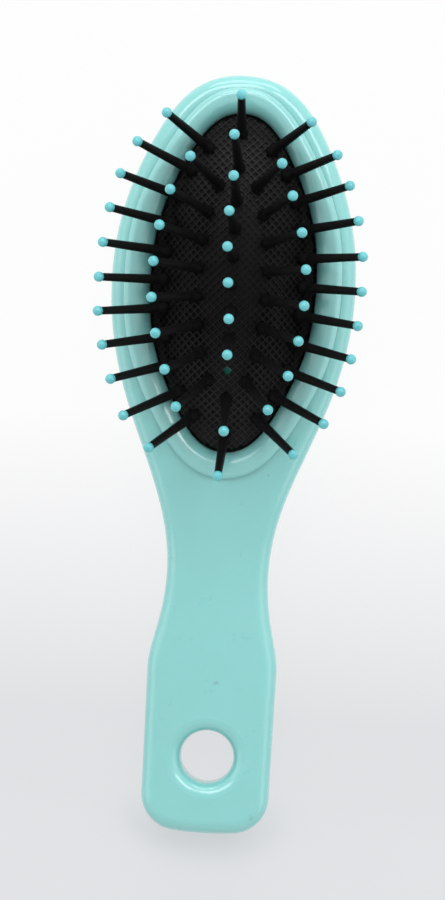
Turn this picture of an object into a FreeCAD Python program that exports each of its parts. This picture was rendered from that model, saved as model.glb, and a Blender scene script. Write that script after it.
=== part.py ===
import FreeCAD, Part
import math
import os

from FreeCAD import Vector

# Oval cushion hairbrush lying on its back.
# Lengths in mm: x across, y towards the head, z out of the pin side.

# Plan outline.
LENGTH = 170.0
OPENING_HALF_WIDTH = 18.5  # the oval opening that shows the rubber pad
OPENING_HALF_LENGTH = 37.75
RING_WIDTH = 5.8
RIM_WIDTH = 2.95  # body left showing outside the ring at its sides
RIM_END_WIDTH = 2.7  # and beyond its far end
WIDEST_BEHIND_PAD = 0.6
NECK_HALF_WIDTH = 11.4
NECK_BEHIND_PAD = 65.3  # from the pad's centre to the narrowest place
GRIP_HALF_WIDTH = 14.5
GRIP_BEHIND_NECK = 21.3
FOOT_TAPER = 0.2
FOOT_CORNER_RADIUS = 8.2
FOOT_BULGE = 1.2
WIDEST_BEND_RADIUS = 80.0  # how sharply the outline turns at its widest and narrowest places
NECK_BEND_RADIUS = 50.0
GRIP_BEND_RADIUS = 13.5

# Fullness of a quarter oval, as shares of its half width and half length:
# the level pull at its end, its shoulder out and up, and the straight pull at its side.
RING_END_RATIO = 0.588
RING_SHOULDER_OUT_RATIO = 0.588
RING_SHOULDER_UP_RATIO = 0.585
RING_SIDE_RATIO = 0.59
HEAD_END_RATIO = 0.656
HEAD_SHOULDER_OUT_RATIO = 0.622
HEAD_SHOULDER_UP_RATIO = 0.645
HEAD_SIDE_RATIO = 0.534

# Thickness of the body.
HEAD_THICKNESS = 11.5
NECK_THICKNESS = 9.6
GRIP_THICKNESS = 10.8
FOOT_THICKNESS = 10.0
GRIP_CROWN = 0.9  # fall of the rounded front from the middle to the side of the grip
FRONT_ROUND = 3.2
BACK_ROUND = 4.4
HEAD_FLAT_MARGIN = 1.2  # level front kept beyond the ring before the neck falls away
FRONT_ROWS = 28
FRONT_COLUMNS = 7

# Hanging hole.
HOLE_RADIUS = 5.95
HOLE_ROUND = 3.1
HOLE_FROM_FOOT = 17.35

# Air chamber, pad seat and ring.
BACK_WALL = 3.0
FLANGE_THICKNESS = 1.2
FLANGE_WIDTH = 2.9
RING_HEIGHT = 5.0
RING_PROUD = 2.1  # height of the ring above the body's front
RING_OUTER_ROUND = 1.7
RING_INNER_ROUND = 3.3
RING_LAND = 0.1  # least level top kept between the ring's two roundings
SEAM_GAP = 0.03
FLANGE_GAP = 0.1
CHAMBER_GAP = 0.2
PEG_RADIUS = 0.9
PEG_LENGTH = 3.0
PEG_GAP = 0.04
PEG_COUNT = 6

# Domed rubber pad.
DOME_HEIGHT = 9.7
DOME_GAP = 0.2  # between the foot of the dome and the ring
MEMBRANE_THICKNESS = 1.3
VENT_RADIUS = 0.9

# Pins.
OUTER_COUNT = 24
INNER_COUNT = 18
OUTER_INSET_SIDE, OUTER_INSET_END = 3.3, 4.5  # from the opening's edge to the oval of pins
INNER_INSET_SIDE, INNER_INSET_END = 10.7, 12.2
OUTER_END_STEP = 8.0  # along the oval from an end pin to the first side pin
INNER_END_STEP = 6.1
CENTRE_SLOTS_AHEAD = 3  # slots each side of the middle one; the vent stands in for the rearmost pin
CENTRE_END_GAP = 7.2  # from the centre row's front pin to the inner oval's end pin
VENT_END_GAP = 6.3  # from the vent to the inner oval's rear pin
END_FAN = 0.45  # extra sideways lean of the pins towards the pad's ends
LEAN_SCATTER = 0.035  # greatest slope by which a pin misses standing true
SCATTER_SHORT_LENGTH = 0.526  # lengths over which that changes from pin to pin
SCATTER_MIDDLE_LENGTH = 1.0
SCATTER_LONG_LENGTH = 2.0
PIN_REACH = 20.5  # from the pad's surface to the middle of the ball tip
PIN_RADIUS = 1.08  # where the shaft leaves its collar
PIN_TIP_RADIUS = 0.87  # and where it enters its ball
COLLAR_RADIUS = 1.4
COLLAR_HEIGHT = 0.9
COLLAR_TAPER = 1.7
STEM_RADIUS = 0.8
STEM_GAP = 0.05
COLLAR_GAP = 0.18
HEAD_GAP = 0.32
PIN_HEAD_RADIUS = 1.7
PIN_HEAD_HEIGHT = 0.7
TIP_RADIUS = 1.15
TIP_ENGAGE = 0.4  # how far the pin runs past the middle of its ball
GLUE_FILM = 0.02

# Places that follow from the sizes above.
TOP_Y = LENGTH / 2
FOOT_Y = -LENGTH / 2
RING_HALF_WIDTH = OPENING_HALF_WIDTH + RING_WIDTH
RING_HALF_LENGTH = OPENING_HALF_LENGTH + RING_WIDTH
HEAD_HALF_WIDTH = RING_HALF_WIDTH + RIM_WIDTH
PAD_Y = TOP_Y - RING_HALF_LENGTH - RIM_END_WIDTH
WIDEST_Y = PAD_Y - WIDEST_BEHIND_PAD
NECK_Y = PAD_Y - NECK_BEHIND_PAD
GRIP_Y = NECK_Y - GRIP_BEHIND_NECK
FOOT_HALF_WIDTH = GRIP_HALF_WIDTH - FOOT_TAPER
FOOT_SIDE_Y = FOOT_Y + FOOT_BULGE
HEAD_FLAT_Y = PAD_Y - RING_HALF_LENGTH - HEAD_FLAT_MARGIN
HOLE_Y = FOOT_Y + HOLE_FROM_FOOT
RING_TOP = HEAD_THICKNESS + RING_PROUD
FLANGE_TOP = RING_TOP - RING_HEIGHT
FLANGE_BOTTOM = FLANGE_TOP - FLANGE_THICKNESS
FLANGE_HALF_WIDTH = OPENING_HALF_WIDTH + FLANGE_WIDTH
FLANGE_HALF_LENGTH = OPENING_HALF_LENGTH + FLANGE_WIDTH
DOME_HALF_WIDTH = OPENING_HALF_WIDTH - DOME_GAP
DOME_HALF_LENGTH = OPENING_HALF_LENGTH - DOME_GAP
RING_FULLNESS = (RING_END_RATIO, RING_SHOULDER_OUT_RATIO, RING_SHOULDER_UP_RATIO, RING_SIDE_RATIO)
HEAD_FULLNESS = (HEAD_END_RATIO, HEAD_SHOULDER_OUT_RATIO, HEAD_SHOULDER_UP_RATIO, HEAD_SIDE_RATIO)
UP = Vector(0, 0, 1)


def quarter(centre, half_width, half_length, fullness):
    """A quarter of an oval, from its far end round to its right side."""
    end_pull, shoulder_out, shoulder_up, side_pull = fullness
    curve = Part.BezierCurve()
    curve.setPoles([
        centre + Vector(0, half_length, 0),
        centre + Vector(half_width * end_pull, half_length, 0),
        centre + Vector(half_width * shoulder_out, half_length * shoulder_up, 0),
        centre + Vector(half_width, half_length * side_pull, 0),
        centre + Vector(half_width, 0, 0),
    ])
    return curve.toShape()


def oval_wire(half_width, half_length, z):
    """A whole oval round the pad's centre."""
    centre = Vector(0, PAD_Y, z)
    ahead = quarter(centre, half_width, half_length, RING_FULLNESS)
    right = [ahead, ahead.mirror(centre, Vector(0, 1, 0))]
    left = [edge.mirror(centre, Vector(1, 0, 0)) for edge in right]
    return Part.Wire(Part.__sortEdges__(right + left))


def oval_block(half_width, half_length, z_low, z_high):
    """An upright oval block centred on the pad."""
    return Part.Face(oval_wire(half_width, half_length, z_low)).extrude(UP * (z_high - z_low))


def bend(start, end, start_radius, end_radius):
    """A curve between two places where the outline runs straight back, turning there with these radii."""
    step = abs(start.x - end.x)
    first = Vector(0, math.sqrt(2 * step * start_radius / 3), 0)
    last = Vector(0, math.sqrt(2 * step * end_radius / 3), 0)
    curve = Part.BezierCurve()
    curve.setPoles([start, start - first, end + last, end])
    return curve.toShape()


def half_outline():
    """Edges of the right half of the plan outline, from the head's top to the foot's side."""
    widest = Vector(HEAD_HALF_WIDTH, WIDEST_Y, 0)
    neck = Vector(NECK_HALF_WIDTH, NECK_Y, 0)
    grip = Vector(GRIP_HALF_WIDTH, GRIP_Y, 0)
    foot = Vector(FOOT_HALF_WIDTH, FOOT_SIDE_Y, 0)
    return [
        quarter(Vector(0, WIDEST_Y, 0), HEAD_HALF_WIDTH, TOP_Y - WIDEST_Y, HEAD_FULLNESS),
        bend(widest, neck, WIDEST_BEND_RADIUS, NECK_BEND_RADIUS),
        bend(neck, grip, NECK_BEND_RADIUS, GRIP_BEND_RADIUS),
        Part.makeLine(grip, foot),
    ]


def plan_prism(height):
    """The plan outline drawn up to a height, with its foot corners rounded."""
    right = half_outline()
    left = [edge.mirror(Vector(0, 0, 0), Vector(1, 0, 0)) for edge in right]
    foot = Vector(FOOT_HALF_WIDTH, FOOT_SIDE_Y, 0)
    other = Vector(-FOOT_HALF_WIDTH, FOOT_SIDE_Y, 0)
    sole = Part.Arc(foot, Vector(0, FOOT_Y, 0), other).toShape()
    wire = Part.Wire(Part.__sortEdges__(right + [sole] + left))
    prism = Part.Face(wire).extrude(UP * height)
    corners = []
    for edge in prism.Edges:
        ends = [v.Point for v in edge.Vertexes]
        upright = len(ends) == 2 and abs(ends[0].z - ends[1].z) > height / 2
        if upright and abs(ends[0].y - FOOT_SIDE_Y) < SEAM_GAP:
            corners.append(edge)
    return prism.makeFillet(FOOT_CORNER_RADIUS, corners)


def ease(share):
    """0 to 1, starting and ending level."""
    share = min(max(share, 0.0), 1.0)
    return share * share * (3 - 2 * share)


def front_height(x, y):
    """Height of the body's front: level at the head, lower at the neck, gently crowned at the grip."""
    fall = ease((HEAD_FLAT_Y - y) / (HEAD_FLAT_Y - NECK_Y))
    swell = ease((NECK_Y - y) / (NECK_Y - GRIP_Y))
    thin = ease((GRIP_Y - y) / (GRIP_Y - FOOT_Y))
    z = HEAD_THICKNESS - (HEAD_THICKNESS - NECK_THICKNESS) * fall
    z += (GRIP_THICKNESS - NECK_THICKNESS) * swell
    z -= (GRIP_THICKNESS - FOOT_THICKNESS) * thin
    return z - GRIP_CROWN * fall * (x / GRIP_HALF_WIDTH) ** 2


def front_block():
    """Everything under the body's front surface."""
    reach_x = HEAD_HALF_WIDTH + RING_WIDTH
    reach_y = TOP_Y + RING_WIDTH
    rows = []
    for i in range(FRONT_ROWS):
        y = reach_y * (2.0 * i / (FRONT_ROWS - 1) - 1)
        row = []
        for j in range(FRONT_COLUMNS):
            x = reach_x * (2.0 * j / (FRONT_COLUMNS - 1) - 1)
            row.append(Vector(x, y, front_height(x, y)))
        rows.append(row)
    surface = Part.BSplineSurface()
    surface.interpolate(rows)
    return surface.toShape().extrude(UP * (-HEAD_THICKNESS - RING_WIDTH))


def peg_places():
    """Where the ring's pegs stand on the ledge outside the flange."""
    half_width = (FLANGE_HALF_WIDTH + RING_HALF_WIDTH) / 2
    half_length = (FLANGE_HALF_LENGTH + RING_HALF_LENGTH) / 2
    return oval_wire(half_width, half_length, FLANGE_TOP).discretize(Number=PEG_COUNT + 1)[:-1]


def handle_body():
    """The one-piece moulding: head with its chamber, neck, and grip with its hanging hole."""
    body = plan_prism(HEAD_THICKNESS + RING_WIDTH).common(front_block())
    front_edges = [edge for edge in body.Edges if edge.BoundBox.ZMin > FRONT_ROUND]
    body = body.makeFillet(FRONT_ROUND, front_edges)
    back_edges = [edge for edge in body.Edges if edge.BoundBox.ZMax < SEAM_GAP]
    body = body.makeFillet(BACK_ROUND, back_edges)
    body = body.cut(Part.makeCylinder(HOLE_RADIUS, RING_TOP, Vector(0, HOLE_Y, 0)))
    hole_edges = []
    for edge in body.Edges:
        box = edge.BoundBox
        near = abs(box.Center.y - HOLE_Y) < HOLE_RADIUS and box.XLength > HOLE_RADIUS
        if near and abs(box.XLength - 2 * HOLE_RADIUS) < SEAM_GAP:
            hole_edges.append(edge)
    body = body.makeFillet(HOLE_ROUND, hole_edges)
    seat = oval_block(RING_HALF_WIDTH + SEAM_GAP, RING_HALF_LENGTH + SEAM_GAP, FLANGE_TOP, RING_TOP)
    tray_x = FLANGE_HALF_WIDTH + FLANGE_GAP
    tray_y = FLANGE_HALF_LENGTH + FLANGE_GAP
    tray = oval_block(tray_x, tray_y, FLANGE_BOTTOM, RING_TOP)
    room_x = OPENING_HALF_WIDTH + CHAMBER_GAP
    room_y = OPENING_HALF_LENGTH + CHAMBER_GAP
    room = oval_block(room_x, room_y, BACK_WALL, RING_TOP)
    body = body.cut([seat, tray, room])
    depth = PEG_LENGTH + PEG_GAP
    holes = [Part.makeCylinder(PEG_RADIUS + PEG_GAP, depth, p, UP * -1) for p in peg_places()]
    return body.cut(holes)


def rim_ring():
    """The rounded oval ring that clamps the pad, with pegs that push into the body."""
    ring = oval_block(RING_HALF_WIDTH, RING_HALF_LENGTH, FLANGE_TOP, RING_TOP)
    ring = ring.cut(oval_block(OPENING_HALF_WIDTH, OPENING_HALF_LENGTH, FLANGE_TOP, RING_TOP))
    outline = oval_wire(RING_HALF_WIDTH, RING_HALF_LENGTH, RING_TOP)
    narrowest = outline.distToShape(oval_wire(OPENING_HALF_WIDTH, OPENING_HALF_LENGTH, RING_TOP))[0]
    inner_round = min(RING_INNER_ROUND, narrowest - RING_OUTER_ROUND - RING_LAND)
    middle = (OPENING_HALF_WIDTH + RING_HALF_WIDTH) / 2
    top_edges = [edge for edge in ring.Edges if edge.BoundBox.ZMin > RING_TOP - SEAM_GAP]
    ring = ring.makeFillet(RING_OUTER_ROUND, [edge for edge in top_edges if edge.BoundBox.XMax > middle])
    top_edges = [edge for edge in ring.Edges if edge.BoundBox.ZMin > RING_TOP - SEAM_GAP]
    ring = ring.makeFillet(inner_round, [edge for edge in top_edges if edge.BoundBox.XMax < middle])
    return ring.fuse([Part.makeCylinder(PEG_RADIUS, PEG_LENGTH, p, UP * -1) for p in peg_places()])


def dome_block(z_foot):
    """The solid under the domed pad's curve, with its foot at a height."""
    curve = Part.BezierCurve()
    foot = Vector(DOME_HALF_WIDTH, 0, 0)
    apex = Vector(0, 0, DOME_HEIGHT)
    curve.setPoles([apex, Vector(DOME_HALF_WIDTH / 2, 0, DOME_HEIGHT), foot])
    sides = [curve.toShape(), Part.makeLine(foot, Vector(0, 0, 0)), Part.makeLine(Vector(0, 0, 0), apex)]
    turned = Part.Face(Part.Wire(sides)).revolve(Vector(0, 0, 0), UP, 360)
    stretch = FreeCAD.Matrix()
    stretch.scale(Vector(1, DOME_HALF_LENGTH / DOME_HALF_WIDTH, 1))
    dome = turned.transformGeometry(stretch)
    dome.translate(Vector(0, PAD_Y, z_foot))
    return dome


def on_dome(x, y):
    """The place on the pad over a plan point, and the way its pin stands there."""
    along = y - PAD_Y
    height = DOME_HEIGHT * (1 - (x / DOME_HALF_WIDTH) ** 2 - (along / DOME_HALF_LENGTH) ** 2)
    fan = 1 + END_FAN * (along / DOME_HALF_LENGTH) ** 2
    lean_x = 2 * DOME_HEIGHT * fan * x / DOME_HALF_WIDTH**2
    lean_y = 2 * DOME_HEIGHT * along / DOME_HALF_LENGTH**2
    lean_x += LEAN_SCATTER * math.sin(along / SCATTER_SHORT_LENGTH + x / SCATTER_MIDDLE_LENGTH)
    lean_y += LEAN_SCATTER * math.cos(x / SCATTER_LONG_LENGTH + along / SCATTER_MIDDLE_LENGTH)
    return Vector(x, y, FLANGE_TOP + height), Vector(lean_x, lean_y, 1).normalize()


def ring_places(half_width, half_length, count, end_step):
    """Plan points round an oval: one at each end, the rest spaced evenly down its two sides."""
    centre = Vector(0, PAD_Y, 0)
    curve = Part.Ellipse(centre + Vector(0, half_length, 0), centre + Vector(half_width, 0, 0), centre)
    oval = curve.toShape()
    side = oval.Length / 2
    on_side = count // 2 - 1
    steps = [0.0]
    for i in range(on_side):
        steps.append(end_step + i * (side - 2 * end_step) / (on_side - 1))
    steps += [side + step for step in steps]
    return [oval.valueAt(oval.getParameterByLength(step)) for step in steps]


def mirror_sets(places):
    """Groups the places of one oval that stand at the same height: left, right, ahead and behind."""
    count = len(places)
    half = count // 2
    sets = []
    for i in range(half // 2 + 1):
        members = sorted({i, (count - i) % count, half - i, (half + i) % count})
        sets.append([places[m] for m in members])
    return sets


def standing(shape, x, y):
    """A shape drawn on the z axis, stood on the pad over a plan point."""
    place, way = on_dome(x, y)
    shape.Placement = FreeCAD.Placement(place, FreeCAD.Rotation(UP, way))
    return shape


def turned_solid(profile):
    """A solid of revolution about z from (radius, height) corners."""
    points = [Vector(r, 0, z) for r, z in profile]
    wire = Part.makePolygon(points + [points[0]])
    return Part.Face(wire).revolve(Vector(0, 0, 0), UP, 360)


def pin(x, y):
    """A pin: head behind the pad, stem through it, flared collar, tapered shaft."""
    way = on_dome(x, y)[1]
    head_top = -MEMBRANE_THICKNESS * way.z - HEAD_GAP
    collar_top = COLLAR_GAP + COLLAR_HEIGHT
    profile = [
        (0, head_top - PIN_HEAD_HEIGHT),
        (PIN_HEAD_RADIUS, head_top - PIN_HEAD_HEIGHT),
        (PIN_HEAD_RADIUS, head_top),
        (STEM_RADIUS, head_top),
        (STEM_RADIUS, COLLAR_GAP),
        (COLLAR_RADIUS, COLLAR_GAP),
        (COLLAR_RADIUS, collar_top),
        (PIN_RADIUS, collar_top + COLLAR_TAPER),
        (PIN_TIP_RADIUS, PIN_REACH - TIP_RADIUS),
        (PIN_TIP_RADIUS, PIN_REACH + TIP_ENGAGE),
        (0, PIN_REACH + TIP_ENGAGE),
    ]
    return standing(turned_solid(profile), x, y)


def tip(x, y):
    """A ball tip with a blind socket for the pin's end."""
    ball = Part.makeSphere(TIP_RADIUS, Vector(0, 0, PIN_REACH))
    depth = TIP_RADIUS + TIP_ENGAGE + GLUE_FILM
    socket = Part.makeCylinder(PIN_TIP_RADIUS + GLUE_FILM, depth, Vector(0, 0, PIN_REACH - TIP_RADIUS))
    return standing(ball.cut(socket), x, y)


outer_width = OPENING_HALF_WIDTH - OUTER_INSET_SIDE
outer_length = OPENING_HALF_LENGTH - OUTER_INSET_END
outer_places = ring_places(outer_width, outer_length, OUTER_COUNT, OUTER_END_STEP)
inner_width = OPENING_HALF_WIDTH - INNER_INSET_SIDE
inner_length = OPENING_HALF_LENGTH - INNER_INSET_END
inner_places = ring_places(inner_width, inner_length, INNER_COUNT, INNER_END_STEP)
centre_pitch = (inner_length - CENTRE_END_GAP) / CENTRE_SLOTS_AHEAD
slots = range(CENTRE_SLOTS_AHEAD, -CENTRE_SLOTS_AHEAD, -1)
centre_places = {slot: Vector(0, PAD_Y + slot * centre_pitch, 0) for slot in slots}
vent_place = Vector(0, PAD_Y - inner_length + VENT_END_GAP, 0)

# The pins of a set stand at one height on the dome, so they sink together.
pin_sets = {"centre_1": [centre_places[s] for s in centre_places if abs(s) <= 1]}
for step in range(2, CENTRE_SLOTS_AHEAD + 1):
    pin_sets["centre_%d" % step] = [centre_places[s] for s in centre_places if abs(s) == step]
for number, members in enumerate(mirror_sets(inner_places)):
    pin_sets["inner_%d" % (number + 1)] = members
for number, members in enumerate(mirror_sets(outer_places)):
    pin_sets["outer_%d" % (number + 1)] = members


def cushion():
    """The domed rubber pad with its flange, pin holes and vent."""
    inside = oval_block(DOME_HALF_WIDTH, DOME_HALF_LENGTH, FLANGE_TOP, RING_TOP + DOME_HEIGHT)
    pad = dome_block(FLANGE_TOP).common(inside)
    pad = pad.fuse(oval_block(FLANGE_HALF_WIDTH, FLANGE_HALF_LENGTH, FLANGE_BOTTOM, FLANGE_TOP))
    pad = pad.cut(dome_block(FLANGE_TOP - MEMBRANE_THICKNESS))
    drills = [Part.makeCylinder(VENT_RADIUS, RING_TOP + DOME_HEIGHT, vent_place)]
    reach = 2 * MEMBRANE_THICKNESS
    for members in pin_sets.values():
        for p in members:
            drill = Part.makeCylinder(STEM_RADIUS + STEM_GAP, 2 * reach, Vector(0, 0, -reach))
            drills.append(standing(drill, p.x, p.y))
    return pad.cut(drills)


os.makedirs("parts", exist_ok=True)

handle_body().exportStep("parts/handle_body.step")
rim_ring().exportStep("parts/rim_ring.step")
cushion().exportStep("parts/cushion.step")
for name, members in pin_sets.items():
    group, number = name.split("_")
    pins = Part.makeCompound([pin(p.x, p.y) for p in members])
    pins.exportStep("parts/%s_pins_%s.step" % (group, number))
    tips = Part.makeCompound([tip(p.x, p.y) for p in members])
    tips.exportStep("parts/%s_tips_%s.step" % (group, number))
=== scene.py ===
"""Looks of a small oval cushion hairbrush, laid out as a Blender add-on and run as a script.

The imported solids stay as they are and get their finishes. The rubber pad is remade with its moulded lattice.
Lengths are metres: x across the brush, y towards the head, z out of the pin side.
"""

import math

import bmesh
import bpy
import numpy as np
from bpy.props import FloatProperty, FloatVectorProperty, PointerProperty
from mathutils import Matrix, Vector


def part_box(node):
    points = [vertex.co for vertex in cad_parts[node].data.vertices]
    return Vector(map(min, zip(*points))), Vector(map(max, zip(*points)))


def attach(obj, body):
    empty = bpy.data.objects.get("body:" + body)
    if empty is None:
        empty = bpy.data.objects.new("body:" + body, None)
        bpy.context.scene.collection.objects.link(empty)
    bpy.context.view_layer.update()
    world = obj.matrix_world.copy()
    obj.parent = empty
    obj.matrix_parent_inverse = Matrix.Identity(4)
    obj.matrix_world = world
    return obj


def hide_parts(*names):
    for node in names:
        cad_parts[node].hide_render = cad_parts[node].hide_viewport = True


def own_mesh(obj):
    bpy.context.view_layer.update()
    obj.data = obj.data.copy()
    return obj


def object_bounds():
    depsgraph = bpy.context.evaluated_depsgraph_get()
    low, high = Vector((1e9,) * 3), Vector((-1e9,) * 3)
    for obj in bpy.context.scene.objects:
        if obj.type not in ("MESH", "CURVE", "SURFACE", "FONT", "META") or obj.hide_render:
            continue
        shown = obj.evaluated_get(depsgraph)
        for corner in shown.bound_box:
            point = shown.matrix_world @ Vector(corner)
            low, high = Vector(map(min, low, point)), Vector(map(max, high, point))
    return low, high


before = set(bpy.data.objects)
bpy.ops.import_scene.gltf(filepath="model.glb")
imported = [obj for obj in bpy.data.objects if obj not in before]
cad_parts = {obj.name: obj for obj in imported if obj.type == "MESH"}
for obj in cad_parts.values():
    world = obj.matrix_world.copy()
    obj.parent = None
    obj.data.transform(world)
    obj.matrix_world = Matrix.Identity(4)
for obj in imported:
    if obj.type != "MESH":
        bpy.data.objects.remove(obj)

bl_info = {
    "name": "Oval Cushion Hairbrush",
    "version": (1, 0, 0),
    "blender": (4, 5, 0),
    "location": "3D View > Sidebar > Hairbrush",
    "description": "Dresses an oval cushion hairbrush and sets a plain stage for it",
    "category": "Object",
}

CAD_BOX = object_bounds()
WELD = 1e-5

# Rubber pad.
RING_INNER_SHARE = 0.885  # the ring's inner wall lies inside this share of its outline
RIM_PICK = 1e-3  # share of the pad's reach within which an edge counts as its rim
SHOULDER_EDGE = 0.012  # share of the pad's reach over which its shoulder falls to the flange
SHOULDER_BLEND = 0.15  # softness of the hollow between the dome and the shoulder
CURVE_POINTS = 400  # points along the dome's curve at which its length is known
AXIS_STEPS = 12  # steps that follow a pin's axis down to the dome
CREASE = math.radians(55)  # sharpest turn that is still shaded smooth

# Finishes.
MIX_COLOR_INPUTS = 6, 7  # a mix node's sockets for two colours, by number
MIX_COLOR_OUTPUT = 2
NOISE_BAND = 0.3, 0.7  # most of a noise lies between these
HAZE = -0.04, 0.06  # how far the plastic's roughness wanders below and above its setting
PAINTED_END_LIGHT_REACH = 0.01, 0.03  # from the pad's middle to where its painted light starts, and to where it is full
# how much paler the painted light makes the pad's ends
PAINTED_END_LIGHT_GAIN = 2.9
LINT_BAND = 0.80, 0.84  # only the peaks of a noise are lint
LINT_STRENGTH = 0.12
LINT_COLOR = (0.25, 0.25, 0.25)
PLASTIC_SCATTER = (0.4, 1.0, 1.0)  # how far light of each colour wanders in the plastic, to its scale

# Painted glow on the chamber's floor behind the vent, an emission that stands in for light coming through the
# plastic: its place, reach and colour.
PAINTED_VENT_GLOW = (0.0, 0.0195, 0.0085)
PAINTED_VENT_GLOW_REACH = 0.0055, 0.007
PAINTED_VENT_GLOW_COLOR = (0.005, 0.05, 0.035)

# Small rub marks on the handle's front: the place and the size of each.
SCUFFS = (
    ((0.0103, -0.0034, 0.0113), 0.0006),
    ((0.0012, -0.0508, 0.0107), 0.0011),
    ((0.0105, -0.0805, 0.0088), 0.0013),
)
SCUFF_CORE, SCUFF_EDGE = 0.2, 0.7  # shares of its size at which a mark starts to fade, and ends
SCUFF_STRENGTH = 0.55

# Stage.
SENSOR_SIDE = 36  # millimetres, along the picture's long side
CLIP_START = 0.05
LAMP_DISTANCE = 1.6
FLOOR_HALF_SIDE = 4.0
FLOOR_TINT = (0.985, 1.0, 1.025)  # the floor before the foot is a little blue
FADE_NEAR, FADE_FAR = 0.7, 0.1  # shares of the way to the foot and to the head, between which the floor pales
SHADOW_SHARE = 0.9  # the shadow is faint this share of the way to the foot, and full before the foot
SHADOW_REACH = 0.05, 0.12  # from the foot to where its shadow starts to fade, and to where it is faint


def nodes_of(kind):
    """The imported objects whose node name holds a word, such as every set of pins."""
    return [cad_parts[name] for name in sorted(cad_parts) if kind in name]


class HairbrushPlastic(bpy.types.PropertyGroup):
    """Finishes of the moulded plastic pieces."""

    body_color: FloatVectorProperty(
        name="Body", description="Mint plastic of the handle", subtype="COLOR",
        size=3, min=0, max=1, default=(0.228, 0.600, 0.580),
    )
    ring_color: FloatVectorProperty(
        name="Ring", description="Mint plastic of the clamping ring", subtype="COLOR",
        size=3, min=0, max=1, default=(0.238, 0.590, 0.572),
    )
    tip_color: FloatVectorProperty(
        name="Tips", description="Dipped resin of the ball tips", subtype="COLOR",
        size=3, min=0, max=1, default=(0.115, 0.505, 0.545),
    )
    pin_color: FloatVectorProperty(
        name="Pins", description="Black nylon of the pins", subtype="COLOR",
        size=3, min=0, max=1, default=(0.0045, 0.0045, 0.0048),
    )
    scuff_color: FloatVectorProperty(
        name="Scuffs", description="Grey of the small rub marks", subtype="COLOR",
        size=3, min=0, max=1, default=(0.130, 0.300, 0.300),
    )
    gloss: FloatProperty(
        name="Roughness", description="Roughness of the moulded mint plastic", subtype="FACTOR",
        min=0, max=1, default=0.3,
    )


class HairbrushPad(bpy.types.PropertyGroup):
    """Sizes and finish of the rubber pad."""

    color: FloatVectorProperty(
        name="Rubber", description="Black rubber of the pad", subtype="COLOR",
        size=3, min=0, max=1, default=(0.0075, 0.0073, 0.0072),
    )
    gap: FloatProperty(
        name="Gap", description="From the foot of the dome to the ring", unit="LENGTH",
        min=0, precision=5, default=0.0002,
    )
    shoulder: FloatProperty(
        name="Shoulder", description="Height of the pad's edge above its flange", unit="LENGTH",
        min=0, precision=5, default=0.002,
    )
    flange_reach: FloatProperty(
        name="Flange reach", description="Width of the flange held under the ring", unit="LENGTH",
        min=0, precision=5, default=0.0025,
    )
    thickness: FloatProperty(
        name="Thickness", description="Thickness of the rubber", unit="LENGTH",
        min=0, precision=5, default=0.0012,
    )
    lattice_pitch: FloatProperty(
        name="Lattice pitch", description="From one ridge of the lattice to the next", unit="LENGTH",
        min=0.0002, precision=5, default=0.0013,
    )
    ridge_width: FloatProperty(
        name="Ridge width", description="Flat top of a lattice ridge", unit="LENGTH",
        min=0, precision=5, default=0.00028,
    )
    ridge_slope: FloatProperty(
        name="Ridge slope", description="Plan width of a ridge's sloping side", unit="LENGTH",
        min=0, precision=5, default=0.00016,
    )
    ridge_height: FloatProperty(
        name="Ridge height", description="Height of the ridges above the pits", unit="LENGTH",
        min=0, precision=5, default=0.0005,
    )
    stem_hole: FloatProperty(
        name="Pin hole", description="Radius of the hole that a pin's stem goes through", unit="LENGTH",
        min=0, precision=5, default=0.00085,
    )
    vent_hole: FloatProperty(
        name="Vent", description="Radius of the air vent", unit="LENGTH",
        min=0, precision=5, default=0.0009,
    )
    vent_behind: FloatProperty(
        name="Vent place", description="From the pad's middle back to the vent", unit="LENGTH",
        min=0, precision=5, default=0.01925,
    )


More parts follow.
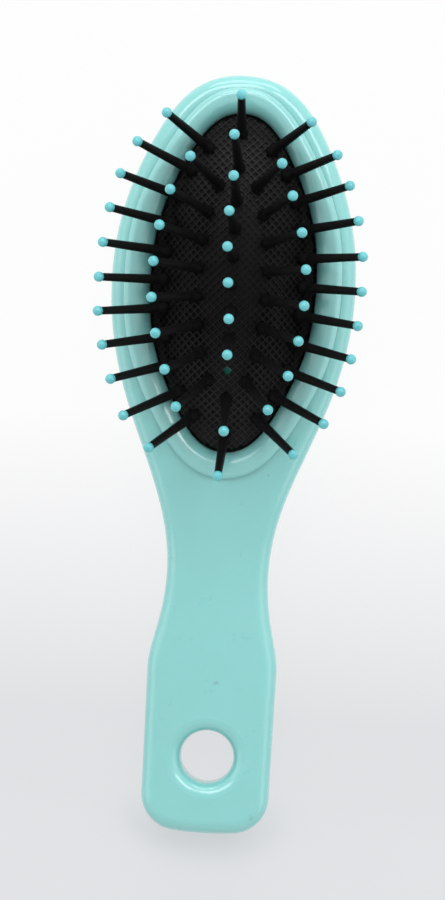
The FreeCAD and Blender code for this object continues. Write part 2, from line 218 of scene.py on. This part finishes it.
class HairbrushStage(bpy.types.PropertyGroup):
    """Camera, lamps and floor."""

    yaw: FloatProperty(
        name="Yaw", description="Turn of the camera towards the brush's right", subtype="ANGLE",
        default=math.radians(2.34),
    )
    pitch: FloatProperty(
        name="Pitch", description="Tilt of the camera towards the head", subtype="ANGLE",
        default=math.radians(3.21),
    )
    roll: FloatProperty(
        name="Roll", description="Lean of the picture", subtype="ANGLE", default=math.radians(3.26),
    )
    target: FloatVectorProperty(
        name="Target", description="Point in the middle of the picture", subtype="TRANSLATION", unit="LENGTH",
        size=3, precision=5, default=(-0.00038, 0.0014, 0.008),
    )
    distance: FloatProperty(
        name="Distance", description="From the camera to its target", unit="LENGTH", min=0.1, default=1.067,
    )
    lens: FloatProperty(
        name="Lens", description="Focal length over a 36 mm long side", unit="CAMERA", min=1, default=190.9,
    )
    sky: FloatProperty(
        name="Sky", description="Soft light from overhead", min=0, default=0.45,
    )
    sky_tilt: FloatProperty(
        name="Sky tilt", description="How much the sky gains towards the head's end", default=-0.06,
    )
    horizon: FloatProperty(
        name="Horizon", description="Soft light added low down, all round", min=0, default=0.9,
    )
    horizon_tilt: FloatProperty(
        name="Horizon tilt", description="How much the horizon gains towards the head's end", default=0.05,
    )
    key_power: FloatProperty(
        name="Key", description="Power of the softbox over the head's left", unit="POWER", min=0, default=7.4,
    )
    fill_power: FloatProperty(
        name="Fill", description="Power of the softbox over the head's right", unit="POWER",
        min=0, default=6.0,
    )
    low_power: FloatProperty(
        name="Low", description="Power of the low softbox beyond the head", unit="POWER", min=0, default=6.0,
    )
    side_power: FloatProperty(
        name="Side", description="Power of each of the two long panels beside the brush", unit="POWER",
        min=0, default=2.8,
    )
    floor_far: FloatProperty(
        name="Far floor", description="Brightness of the floor beyond the head", subtype="FACTOR",
        min=0, max=1, default=0.98,
    )
    floor_near: FloatProperty(
        name="Near floor", description="Brightness of the floor before the foot", subtype="FACTOR",
        min=0, max=1, default=0.755,
    )
    lift_far: FloatProperty(
        name="Far lift", description="Share of its own brightness that the floor shows beyond the head",
        subtype="FACTOR", min=0, max=1, default=0.94,
    )
    lift_near: FloatProperty(
        name="Near lift", description="Share of its own brightness that the floor shows before the foot",
        subtype="FACTOR", min=0, max=1, default=0.62,
    )


class ShaderTree:
    """Short ways to add nodes to a shader's node tree."""

    def __init__(self, tree):
        self.tree = tree

    def find(self, kind):
        """The node of a kind that the tree came with."""
        return next(node for node in self.tree.nodes if node.type == kind)

    def add(self, kind, **settings):
        """A new node; settings named for its inputs are fed to them, and the rest are its options."""
        node = self.tree.nodes.new(kind)
        for name, value in settings.items():
            socket = name.replace("_", " ").title()
            if socket in node.inputs:
                self.feed(node.inputs[socket], value)
            else:
                setattr(node, name, value)
        return node

    def feed(self, socket, value):
        """Links a socket to another, or sets its value."""
        if isinstance(value, bpy.types.NodeSocket):
            self.tree.links.new(value, socket)
        else:
            socket.default_value = value

    def spread(self, value, low, high, to_low, to_high):
        """A value's range carried over to another range."""
        made = self.add(
            "ShaderNodeMapRange", value=value, from_min=low, from_max=high, to_min=to_low, to_max=to_high
        )
        return made.outputs["Result"]

    def joined(self, operation, first, second):
        """Two numbers put together."""
        made = self.add("ShaderNodeMath", operation=operation)
        self.feed(made.inputs[0], first)
        self.feed(made.inputs[1], second)
        return made.outputs["Value"]

    def seen_directly(self):
        """1 for rays that show a surface straight, mirrored or through glass; 0 for rays that carry light."""
        path = self.add("ShaderNodeLightPath").outputs
        mirrored = self.joined("MAXIMUM", path["Is Camera Ray"], path["Is Glossy Ray"])
        return self.joined("MAXIMUM", mirrored, path["Is Transmission Ray"])


class Finish(ShaderTree):
    """A new material with a Principled shader."""

    def __init__(self, name):
        self.material = bpy.data.materials.new(name)
        self.material.use_nodes = True
        super().__init__(self.material.node_tree)
        self.shader = self.find("BSDF_PRINCIPLED")
        self.place = self.add("ShaderNodeTexCoord").outputs["Object"]

    def settle(self, **values):
        """Sets or links the shader's own inputs."""
        sockets = {socket.name.lower().replace(" ", "_"): socket for socket in self.shader.inputs}
        for name, value in values.items():
            self.feed(sockets[name], value)

    def noise(self, size, detail=3.0, roughness=0.5):
        """Noise whose blotches are about a size across."""
        made = self.add(
            "ShaderNodeTexNoise", vector=self.place, scale=1 / size, detail=detail, roughness=roughness
        )
        return made.outputs["Fac"]

    def wander(self, noise, low, high):
        """A number that goes between two limits with a noise."""
        return self.spread(noise, *NOISE_BAND, low, high)

    def blend(self, share, first, second):
        """Two colours mixed by a share."""
        made = self.add("ShaderNodeMix", data_type="RGBA", factor=share)
        for number, color in zip(MIX_COLOR_INPUTS, (first, second)):
            self.feed(made.inputs[number], color)
        return made.outputs[MIX_COLOR_OUTPUT]

    def mottle(self, noise, color, darkest, palest):
        """A colour that goes between two shares of itself with a noise."""
        return self.blend(self.wander(noise, 0, 1), four(color, darkest), four(color, palest))

    def along(self):
        """How far towards the head a place is."""
        return self.add("ShaderNodeSeparateXYZ", vector=self.place).outputs["Y"]

    def away_from(self, point):
        """How far from a point a place is."""
        made = self.add("ShaderNodeVectorMath", operation="DISTANCE")
        self.feed(made.inputs[0], self.place)
        self.feed(made.inputs[1], point)
        return made.outputs["Value"]

    def bump(self, height, depth, share):
        """Fine relief of a depth."""
        made = self.add("ShaderNodeBump", height=height, distance=depth, strength=share)
        self.settle(normal=made.outputs["Normal"])


def four(color, share=1.0):
    """A colour, changed by a share, with an alpha."""
    return (color[0] * share, color[1] * share, color[2] * share, 1.0)


def dress(objects, material):
    """Gives packed objects or pieces one material."""
    for item in objects:
        item.data.materials.clear()
        item.data.materials.append(material)


def mint_plastic(name, color, scuff_color, roughness):
    """Glossy moulded plastic: faint flow clouding, soft ripple, a few small rub marks, and a painted glow on
    the chamber's floor behind the vent.
    """
    finish = Finish(name)
    tint = finish.mottle(finish.noise(size=0.018, detail=2), color, darkest=0.98, palest=1.015)
    for place, size in SCUFFS:
        raggedness = finish.spread(finish.noise(size / 2), 0, 1, -size, size)
        away = finish.joined("ADD", finish.away_from(place), raggedness)
        mark = finish.spread(away, size * SCUFF_CORE, size * SCUFF_EDGE, SCUFF_STRENGTH, 0)
        tint = finish.blend(mark, tint, four(scuff_color))
    haze = finish.noise(size=0.006, detail=5, roughness=0.6)
    finish.settle(
        base_color=tint,
        roughness=finish.wander(haze, roughness + HAZE[0], roughness + HAZE[1]),
        specular_ior_level=0.45,
        coat_weight=1.0,
        coat_ior=1.6,
        coat_roughness=0.12,
        subsurface_weight=0.35,
        subsurface_radius=PLASTIC_SCATTER,
        subsurface_scale=0.002,
        # Painted glow: emission near the chamber's floor behind the vent, standing in for light that comes
        # through the plastic.
        emission_color=four(PAINTED_VENT_GLOW_COLOR),
        emission_strength=finish.spread(finish.away_from(PAINTED_VENT_GLOW), *PAINTED_VENT_GLOW_REACH, 1, 0),
    )
    finish.bump(finish.noise(size=0.004, detail=2), depth=0.00004, share=0.2)
    return finish.material


def pad_rubber(color, middle):
    """Dull black rubber with a slight mottled bloom, a few specks of lint, and painted light that makes it
    paler towards the pad's ends.
    """
    finish = Finish("pad_rubber")
    bloom = finish.noise(size=0.006, detail=4)
    tint = finish.mottle(bloom, color, darkest=0.8, palest=1.25)
    # Painted light: the rubber is painted paler towards both ends of the pad.
    away = finish.joined("ABSOLUTE", finish.joined("SUBTRACT", finish.along(), middle.y), 0)
    tint = finish.blend(finish.spread(away, *PAINTED_END_LIGHT_REACH, 0, 1), tint, four(color, PAINTED_END_LIGHT_GAIN))
    lint = finish.spread(finish.noise(size=0.0009, detail=1), *LINT_BAND, 0, LINT_STRENGTH)
    finish.settle(
        base_color=finish.blend(lint, tint, four(LINT_COLOR)),
        roughness=finish.wander(bloom, 0.36, 0.46),
        specular_ior_level=0.08,
    )
    finish.bump(finish.noise(size=0.00025, detail=3), depth=0.00002, share=0.35)
    return finish.material


def pin_nylon(color):
    """Satin black nylon, faintly mottled."""
    finish = Finish("pin_nylon")
    grain = finish.noise(size=0.0012, detail=3)
    finish.settle(
        base_color=finish.mottle(grain, color, darkest=0.8, palest=1.3),
        roughness=finish.wander(grain, 0.4, 0.55),
        specular_ior_level=0.15,
    )
    finish.bump(grain, depth=0.00002, share=0.3)
    return finish.material


def tip_resin(color):
    """Glossy dipped resin, a little uneven in thickness."""
    finish = Finish("tip_resin")
    pool = finish.noise(size=0.0016, detail=2)
    finish.settle(
        base_color=finish.mottle(pool, color, darkest=0.92, palest=1.06),
        roughness=finish.wander(pool, 0.22, 0.34),
        specular_ior_level=0.5,
        coat_weight=0.3,
        coat_roughness=0.08,
        subsurface_weight=0.1,
        subsurface_radius=PLASTIC_SCATTER,
        subsurface_scale=0.0005,
    )
    finish.bump(pool, depth=0.00003, share=0.2)
    return finish.material


def pin_axes(node):
    """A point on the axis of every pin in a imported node, and the way that it stands."""
    mesh = bmesh.new()
    mesh.from_mesh(node.data)
    bmesh.ops.remove_doubles(mesh, verts=mesh.verts, dist=WELD)
    seen = set()
    axes = []
    for start in mesh.verts:
        if start in seen:
            continue
        seen.add(start)
        group = [start]
        for vert in group:
            for edge in vert.link_edges:
                other = edge.other_vert(vert)
                if other not in seen:
                    seen.add(other)
                    group.append(other)
        points = np.array([vert.co for vert in group])
        middle = points.mean(0)
        way = np.linalg.svd(points - middle)[2][0]
        axes.append((middle, way * np.sign(way[2])))
    mesh.free()
    return axes


class PadShape:
    """The pad's measures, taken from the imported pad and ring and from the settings."""

    def __init__(self, pad):
        low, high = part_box("cushion")
        ring_low, ring_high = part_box("rim_ring")
        self.pad = pad
        self.centre = (low + high) / 2
        self.foot_z = low.z + pad.thickness
        self.rise = high.z - self.foot_z
        # The ring's inner wall at the top of the flange shows how far the dome's foot may reach, all round.
        points = np.array([vert.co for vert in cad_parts["rim_ring"].data.vertices])
        points -= np.array(self.centre)
        sides = np.array([ring_high.x - ring_low.x, ring_high.y - ring_low.y]) / 2
        inner = np.hypot(*(points[:, :2] / sides).T) < RING_INNER_SHARE
        wall = points[inner & (np.abs(points[:, 2] + self.centre.z - self.foot_z) < WELD)]
        turns = np.arctan2(wall[:, 1], wall[:, 0])
        order = np.argsort(turns)
        self.turns = turns[order]
        self.reaches = np.hypot(wall[:, 0], wall[:, 1])[order] - pad.gap
        self.half = self.reach(0.0), self.reach(math.pi / 2)

    def plan(self, vert):
        """A vertex's place across and along the pad, from the pad's middle."""
        return vert.co.x - self.centre.x, vert.co.y - self.centre.y

    def reach(self, turn):
        """From the pad's middle to the foot of its dome, in a direction."""
        return np.interp(turn, self.turns, self.reaches, period=2 * math.pi)

    def out(self, x, y):
        """0 in the middle of the pad and 1 on the foot of its dome."""
        return np.hypot(x, y) / self.reach(np.arctan2(y, x))

    def height(self, x, y):
        """Height of the smooth pad over a plan point: its dome, and the shoulder in the ring's throat."""
        dome = self.rise * (1 - (x / self.half[0]) ** 2 - (y / self.half[1]) ** 2)
        ledge = self.pad.shoulder * np.clip((1 - self.out(x, y)) / SHOULDER_EDGE, 0, 1)
        soft = np.hypot(dome - ledge, SHOULDER_BLEND * self.pad.shoulder)
        lift = (dome + ledge + soft) / 2 * (ledge > 0)
        return self.foot_z + lift

    def laid(self, distance, half):
        """Plan distance from the middle of a place that lies a distance along the dome."""
        plan = np.linspace(0, 2 * half, CURVE_POINTS)
        slope = 2 * self.rise * plan / half**2
        along = half**2 / (4 * self.rise) * (slope * np.hypot(1, slope) + np.arcsinh(slope))
        return np.sign(distance) * np.interp(np.abs(distance), along, plan)

    def holes(self):
        """Plan centre and radius of each pin's hole and of the vent."""
        found = [(0.0, -self.pad.vent_behind, self.pad.vent_hole)]
        for node in nodes_of("_pins_"):
            for middle, way in pin_axes(node):
                found.append((*self.under(middle, way), self.pad.stem_hole))
        return found

    def under(self, middle, way):
        """Where a pin's axis goes through the dome."""
        step = 0.0
        for _ in range(AXIS_STEPS):
            x, y, z = middle - way * step
            x -= self.centre.x
            y -= self.centre.y
            step += z - self.height(x, y)
        return x, y


def lattice_lines(pad, reach):
    """Places across the lattice where its section turns, and how far up its ridge each one is."""
    top = pad.ridge_width / 2
    foot = top + pad.ridge_slope
    count = math.ceil(reach / pad.lattice_pitch)
    lines = []
    for i in range(-count, count + 1):
        middle = i * pad.lattice_pitch
        lines += [(middle - foot, 0.0), (middle - top, 1.0), (middle + top, 1.0), (middle + foot, 0.0)]
    return np.array(lines)


def pad_sheet(shape):
    """The pad's upper face as a mesh: the latticed dome with its holes, then the flat flange."""
    pad = shape.pad
    lines = lattice_lines(pad, math.hypot(*shape.half))
    across, along = np.meshgrid(lines[:, 0], lines[:, 0], indexing="ij")
    lift = np.maximum(*np.meshgrid(lines[:, 1], lines[:, 1], indexing="ij"))
    x = shape.laid((across - along) / math.sqrt(2), shape.half[0])
    y = shape.laid((across + along) / math.sqrt(2), shape.half[1])
    out = np.maximum(shape.out(x, y), WELD)
    kept = out < 1
    x /= np.maximum(out, 1)
    y /= np.maximum(out, 1)
    for hole_x, hole_y, radius in shape.holes():
        away = np.maximum(np.hypot(x - hole_x, y - hole_y), WELD)
        inside = away < radius
        kept &= ~inside
        push = np.where(inside, radius / away, 1)
        x = hole_x + (x - hole_x) * push
        y = hole_y + (y - hole_y) * push
    z = shape.height(x, y) + np.where(out < 1, (lift - 1) * pad.ridge_height, 0)
    sheet = bmesh.new()
    made = {}

    def corner(i, j):
        if (i, j) not in made:
            made[i, j] = sheet.verts.new((x[i, j] + shape.centre.x, y[i, j] + shape.centre.y, z[i, j]))
        return made[i, j]

    shown = kept[:-1, :-1] | kept[1:, :-1] | kept[:-1, 1:] | kept[1:, 1:]
    for i, j in zip(*np.nonzero(shown)):
        sheet.faces.new([corner(i, j), corner(i + 1, j), corner(i + 1, j + 1), corner(i, j + 1)])
    bmesh.ops.remove_doubles(sheet, verts=sheet.verts, dist=WELD)
    bmesh.ops.dissolve_degenerate(sheet, edges=sheet.edges, dist=WELD)
    rim = [
        edge for edge in sheet.edges
        if edge.is_boundary and all(shape.out(*shape.plan(vert)) > 1 - RIM_PICK for vert in edge.verts)
    ]
    grown = bmesh.ops.extrude_edge_only(sheet, edges=rim)["geom"]
    for vert in grown:
        if isinstance(vert, bmesh.types.BMVert):
            offset = Vector((*shape.plan(vert), 0))
            vert.co += offset.normalized() * pad.flange_reach
            vert.co.z = shape.foot_z
    return sheet


def close_underneath(sheet, shape):
    """Adds the smooth underside and the walls of every hole and of the rim."""
    upper = list(sheet.verts)
    faces = list(sheet.faces)
    edges = [edge for edge in sheet.edges if edge.is_boundary]
    lower = {}
    for vert in upper:
        x, y = shape.plan(vert)
        z = shape.height(x, y) if shape.out(x, y) < 1 else shape.foot_z
        lower[vert] = sheet.verts.new((vert.co.x, vert.co.y, z - shape.pad.thickness))
    for face in faces:
        sheet.faces.new([lower[vert] for vert in reversed(face.verts)])
    for edge in edges:
        first, second = edge.verts
        sheet.faces.new([first, second, lower[second], lower[first]])
    bmesh.ops.recalc_face_normals(sheet, faces=sheet.faces)


class HAIRBRUSH_OT_dress_body(bpy.types.Operator):
    """Gives the handle and the clamping ring their glossy mint plastic"""

    bl_idname = "hairbrush.dress_body"
    bl_label = "Dress Body"

    def execute(self, context):
        plastic = context.scene.hairbrush_plastic
        body = mint_plastic("mint_plastic", plastic.body_color, plastic.scuff_color, plastic.gloss)
        ring = mint_plastic("mint_ring", plastic.ring_color, plastic.scuff_color, plastic.gloss)
        dress([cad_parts["handle_body"]], body)
        dress([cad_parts["rim_ring"]], ring)
        return {"FINISHED"}


class HAIRBRUSH_OT_dress_pins(bpy.types.Operator):
    """Gives the pins their satin black nylon"""

    bl_idname = "hairbrush.dress_pins"
    bl_label = "Dress Pins"

    def execute(self, context):
        dress(nodes_of("_pins_"), pin_nylon(context.scene.hairbrush_plastic.pin_color))
        return {"FINISHED"}


class HAIRBRUSH_OT_dress_tips(bpy.types.Operator):
    """Gives the ball tips their dipped resin"""

    bl_idname = "hairbrush.dress_tips"
    bl_label = "Dress Tips"

    def execute(self, context):
        dress(nodes_of("_tips_"), tip_resin(context.scene.hairbrush_plastic.tip_color))
        return {"FINISHED"}


class HAIRBRUSH_OT_make_pad(bpy.types.Operator):
    """Makes the domed rubber pad with its lattice, pin holes, vent and flange"""

    bl_idname = "hairbrush.make_pad"
    bl_label = "Make Pad"

    def execute(self, context):
        settings = context.scene.hairbrush_pad
        shape = PadShape(settings)
        sheet = pad_sheet(shape)
        close_underneath(sheet, shape)
        mesh = bpy.data.meshes.new("rubber_pad")
        sheet.to_mesh(mesh)
        sheet.free()
        mesh.shade_smooth()
        mesh.set_sharp_from_angle(angle=CREASE)
        pad = bpy.data.objects.new("rubber_pad", mesh)
        context.scene.collection.objects.link(pad)
        dress([pad], pad_rubber(settings.color, shape.centre))
        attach(pad, "brush")
        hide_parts("cushion")
        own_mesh(pad)
        return {"FINISHED"}


def make_camera(stage):
    """The camera at the photograph's angle."""
    yaw, pitch, roll = stage.yaw, stage.pitch, stage.roll
    ahead = Vector((-math.sin(yaw) * math.cos(pitch), -math.sin(pitch), -math.cos(yaw) * math.cos(pitch)))
    right = ahead.cross(Vector((0, 1, 0))).normalized()
    up = right.cross(ahead)
    level = Matrix((right, up, -ahead)).transposed()
    camera = bpy.data.objects.new("camera", bpy.data.cameras.new("camera"))
    camera.data.lens = stage.lens
    camera.data.sensor_width = SENSOR_SIDE
    camera.data.clip_start = CLIP_START
    turned = level @ Matrix.Rotation(roll, 3, "Z")
    camera.matrix_world = Matrix.Translation(Vector(stage.target) - ahead * stage.distance) @ turned.to_4x4()
    bpy.context.scene.collection.objects.link(camera)
    bpy.context.scene.camera = camera


def make_lamp(name, power, size, azimuth, height):
    """A softbox that faces the brush; its azimuth goes from the head's end towards the right, in degrees."""
    data = bpy.data.lights.new(name, "AREA")
    data.shape = "RECTANGLE"
    data.size, data.size_y = size
    data.energy = power
    lamp = bpy.data.objects.new(name, data)
    turn, climb = math.radians(azimuth), math.radians(height)
    way = Vector((math.sin(turn) * math.cos(climb), math.cos(turn) * math.cos(climb), math.sin(climb)))
    lamp.location = (CAD_BOX[0] + CAD_BOX[1]) / 2 + way * LAMP_DISTANCE
    lamp.rotation_euler = way.to_track_quat("Z", "Y").to_euler()
    lamp.visible_camera = False
    bpy.context.scene.collection.objects.link(lamp)


def pale_floor(stage):
    """Matt floor, white beyond the head and light grey before the foot, that keeps the shadow."""
    finish = Finish("pale_floor")
    low, high = CAD_BOX
    along = finish.along()
    fade = finish.spread(along, low.y * FADE_NEAR, high.y * FADE_FAR, 0, 1)
    near = [stage.floor_near * share for share in FLOOR_TINT]
    shade = finish.blend(fade, four(near), four((stage.floor_far,) * 3))
    finish.settle(base_color=shade, roughness=0.9, specular_ior_level=0.0)
    inward = finish.spread(along, low.y, low.y * SHADOW_SHARE, stage.lift_near, stage.lift_far)
    away = finish.away_from((0, low.y, 0))
    outward = finish.spread(away, *SHADOW_REACH, stage.lift_near, stage.lift_far)
    lift = finish.joined("MAXIMUM", inward, outward)
    glow = finish.add("ShaderNodeEmission", color=shade)
    mix = finish.add("ShaderNodeMixShader", fac=finish.joined("MULTIPLY", finish.seen_directly(), lift))
    finish.feed(mix.inputs[1], finish.shader.outputs["BSDF"])
    finish.feed(mix.inputs[2], glow.outputs["Emission"])
    finish.feed(finish.find("OUTPUT_MATERIAL").inputs["Surface"], mix.outputs["Shader"])
    return finish.material


def make_floor(stage):
    """The floor under the brush."""
    mesh = bpy.data.meshes.new("floor")
    side = FLOOR_HALF_SIDE
    corners = [(-side, -side, 0), (side, -side, 0), (side, side, 0), (-side, side, 0)]
    mesh.from_pydata(corners, [], [(0, 1, 2, 3)])
    floor = bpy.data.objects.new("floor", mesh)
    floor.location.z = CAD_BOX[0].z - WELD
    bpy.context.scene.collection.objects.link(floor)
    dress([floor], pale_floor(stage))


def make_world(stage):
    """Soft light, stronger low down, in a room that looks plain white."""
    world = bpy.data.worlds.new("studio")
    world.use_nodes = True
    sky = ShaderTree(world.node_tree)
    around = sky.add("ShaderNodeTexCoord").outputs["Generated"]
    way = sky.add("ShaderNodeSeparateXYZ", vector=around).outputs
    overhead = sky.spread(way["Y"], -1, 1, stage.sky - stage.sky_tilt, stage.sky + stage.sky_tilt)
    rim = sky.spread(way["Y"], -1, 1, stage.horizon - stage.horizon_tilt, stage.horizon + stage.horizon_tilt)
    low = sky.spread(way["Z"], 0, 1, 1, 0)
    level = sky.joined("ADD", overhead, sky.joined("MULTIPLY", rim, sky.joined("MULTIPLY", low, low)))
    shown = sky.add("ShaderNodeMix", factor=sky.seen_directly(), a=level, b=stage.floor_far)
    background = sky.find("BACKGROUND")
    sky.feed(background.inputs["Color"], four((1, 1, 1)))
    sky.feed(background.inputs["Strength"], shown.outputs["Result"])
    bpy.context.scene.world = world


class HAIRBRUSH_OT_set_stage(bpy.types.Operator):
    """Sets the camera, soft light and pale floor"""

    bl_idname = "hairbrush.set_stage"
    bl_label = "Set Stage"

    def execute(self, context):
        stage = context.scene.hairbrush_stage
        make_camera(stage)
        make_world(stage)
        make_lamp("key", stage.key_power, size=(1.3, 0.5), azimuth=-24, height=50)
        make_lamp("fill", stage.fill_power, size=(0.9, 0.5), azimuth=42, height=50)
        for azimuth in (-90, 90):
            make_lamp("panel", stage.side_power, size=(1.6, 0.9), azimuth=azimuth, height=25)
        make_lamp("low", stage.low_power, size=(1.4, 0.5), azimuth=0, height=16)
        make_floor(stage)
        context.scene.view_settings.view_transform = "Standard"
        return {"FINISHED"}


class HAIRBRUSH_PT_sidebar(bpy.types.Panel):
    """Lists the brush's settings and the steps that make it"""

    bl_idname = "HAIRBRUSH_PT_sidebar"
    bl_label = "Oval Cushion Hairbrush"
    bl_space_type = "VIEW_3D"
    bl_region_type = "UI"
    bl_category = "Hairbrush"

    def draw(self, context):
        for pointer in GROUPS:
            group = getattr(context.scene, pointer)
            box = self.layout.box()
            for name in group.bl_rna.properties.keys():
                if name not in {"rna_type", "name"}:
                    box.prop(group, name)
        for operator in OPERATORS:
            self.layout.operator(operator.bl_idname)


GROUPS = {
    "hairbrush_plastic": HairbrushPlastic,
    "hairbrush_pad": HairbrushPad,
    "hairbrush_stage": HairbrushStage,
}
OPERATORS = (
    HAIRBRUSH_OT_dress_body,
    HAIRBRUSH_OT_dress_pins,
    HAIRBRUSH_OT_dress_tips,
    HAIRBRUSH_OT_make_pad,
    HAIRBRUSH_OT_set_stage,
)


def register():
    for name, group in GROUPS.items():
        bpy.utils.register_class(group)
        setattr(bpy.types.Scene, name, PointerProperty(type=group))
    for operator in OPERATORS:
        bpy.utils.register_class(operator)
    bpy.utils.register_class(HAIRBRUSH_PT_sidebar)


def unregister():
    bpy.utils.unregister_class(HAIRBRUSH_PT_sidebar)
    for operator in reversed(OPERATORS):
        bpy.utils.unregister_class(operator)
    for name, group in reversed(GROUPS.items()):
        delattr(bpy.types.Scene, name)
        bpy.utils.unregister_class(group)


def main():
    """Registers the add-on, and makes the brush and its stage."""
    register()
    bpy.ops.hairbrush.dress_body()
    bpy.ops.hairbrush.dress_pins()
    bpy.ops.hairbrush.dress_tips()
    bpy.ops.hairbrush.make_pad()
    bpy.ops.hairbrush.set_stage()


if __name__ == "__main__":
    main()
